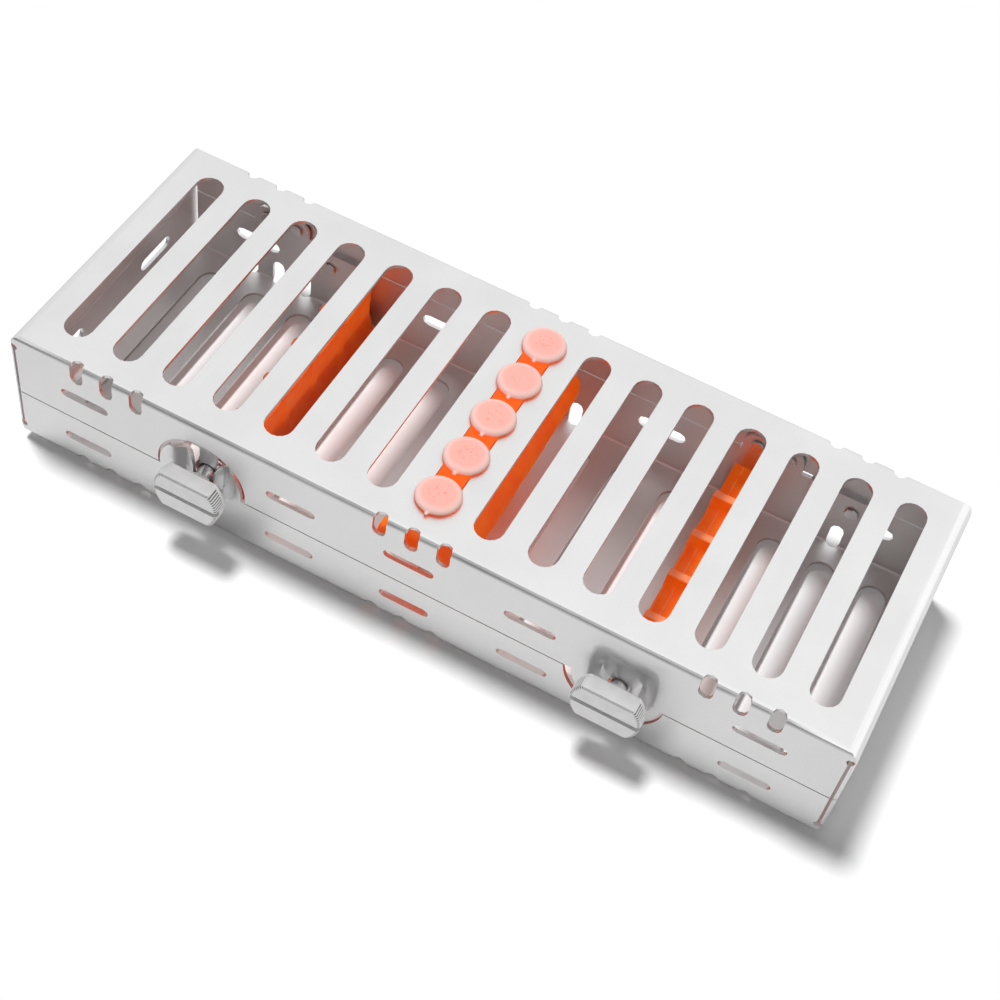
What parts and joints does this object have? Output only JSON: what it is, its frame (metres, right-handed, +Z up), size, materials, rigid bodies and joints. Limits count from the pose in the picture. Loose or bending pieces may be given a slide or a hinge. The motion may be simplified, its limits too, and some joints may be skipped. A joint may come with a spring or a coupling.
{
  "type": "dental instrument cassette",
  "caption": "Slotted sheet-metal cassette with a hinged lid, knob clamps on the front and silicone strips that hold hand instruments for sterilising.",
  "frame": {"origin": "centre of the overall box at the bottom of the silicone feet", "axes": "+X to the right along the front, +Y from the knobs to the hinges, +Z up through the lid"},
  "size_m": [0.18, 0.0754, 0.0329],
  "materials": {
    "sheet_steel": "bead-blasted satin stainless sheet",
    "knob_steel": "turned stainless, knurled ends",
    "fastener_steel": "plain stainless fasteners",
    "silicone": "soft matte orange silicone"
  },
  "bodies": {
    "base": {"base_tray": "sheet_steel", "base_rail_left": "silicone", "base_rail_right": "silicone", "hinge_leaf_base_left": "sheet_steel", "hinge_leaf_base_right": "sheet_steel", "hinge_pin_left": "fastener_steel", "hinge_pin_right": "fastener_steel", "latch_nut_right": "fastener_steel", "hinge_rivet_base_left_1": "fastener_steel", "hinge_rivet_base_left_2": "fastener_steel", "hinge_rivet_base_right_1": "fastener_steel", "hinge_rivet_base_right_2": "fastener_steel"},
    "lid": {"lid_shell": "sheet_steel", "lid_hold_down": "silicone", "hinge_leaf_lid_left": "sheet_steel", "hinge_leaf_lid_right": "sheet_steel", "latch_nut_left": "fastener_steel", "hinge_rivet_lid_left_1": "fastener_steel", "hinge_rivet_lid_left_2": "fastener_steel", "hinge_rivet_lid_right_1": "fastener_steel", "hinge_rivet_lid_right_2": "fastener_steel"},
    "left_knob": {"latch_knob_left": "knob_steel", "latch_stem_left": "fastener_steel", "latch_washer_left": "fastener_steel"},
    "right_knob": {"latch_knob_right": "knob_steel", "latch_stem_right": "fastener_steel", "latch_washer_right": "fastener_steel"}
  },
  "joints": [
    {"name": "lid_hinge", "type": "hinge", "parent": "base", "child": "lid", "pos_m": [0, 0.03575, 0.019], "axis": [-1, 0, 0], "range_deg": [0, 180]},
    {"name": "left_knob_turn", "type": "hinge", "parent": "lid", "child": "left_knob", "pos_m": [-0.046, -0.03195, 0.0157], "axis": [0, -1, 0], "range_deg": [0, 90]},
    {"name": "right_knob_turn", "type": "hinge", "parent": "base", "child": "right_knob", "pos_m": [0.0452, -0.03195, 0.0157], "axis": [0, -1, 0], "range_deg": [0, 90]}
  ]
}
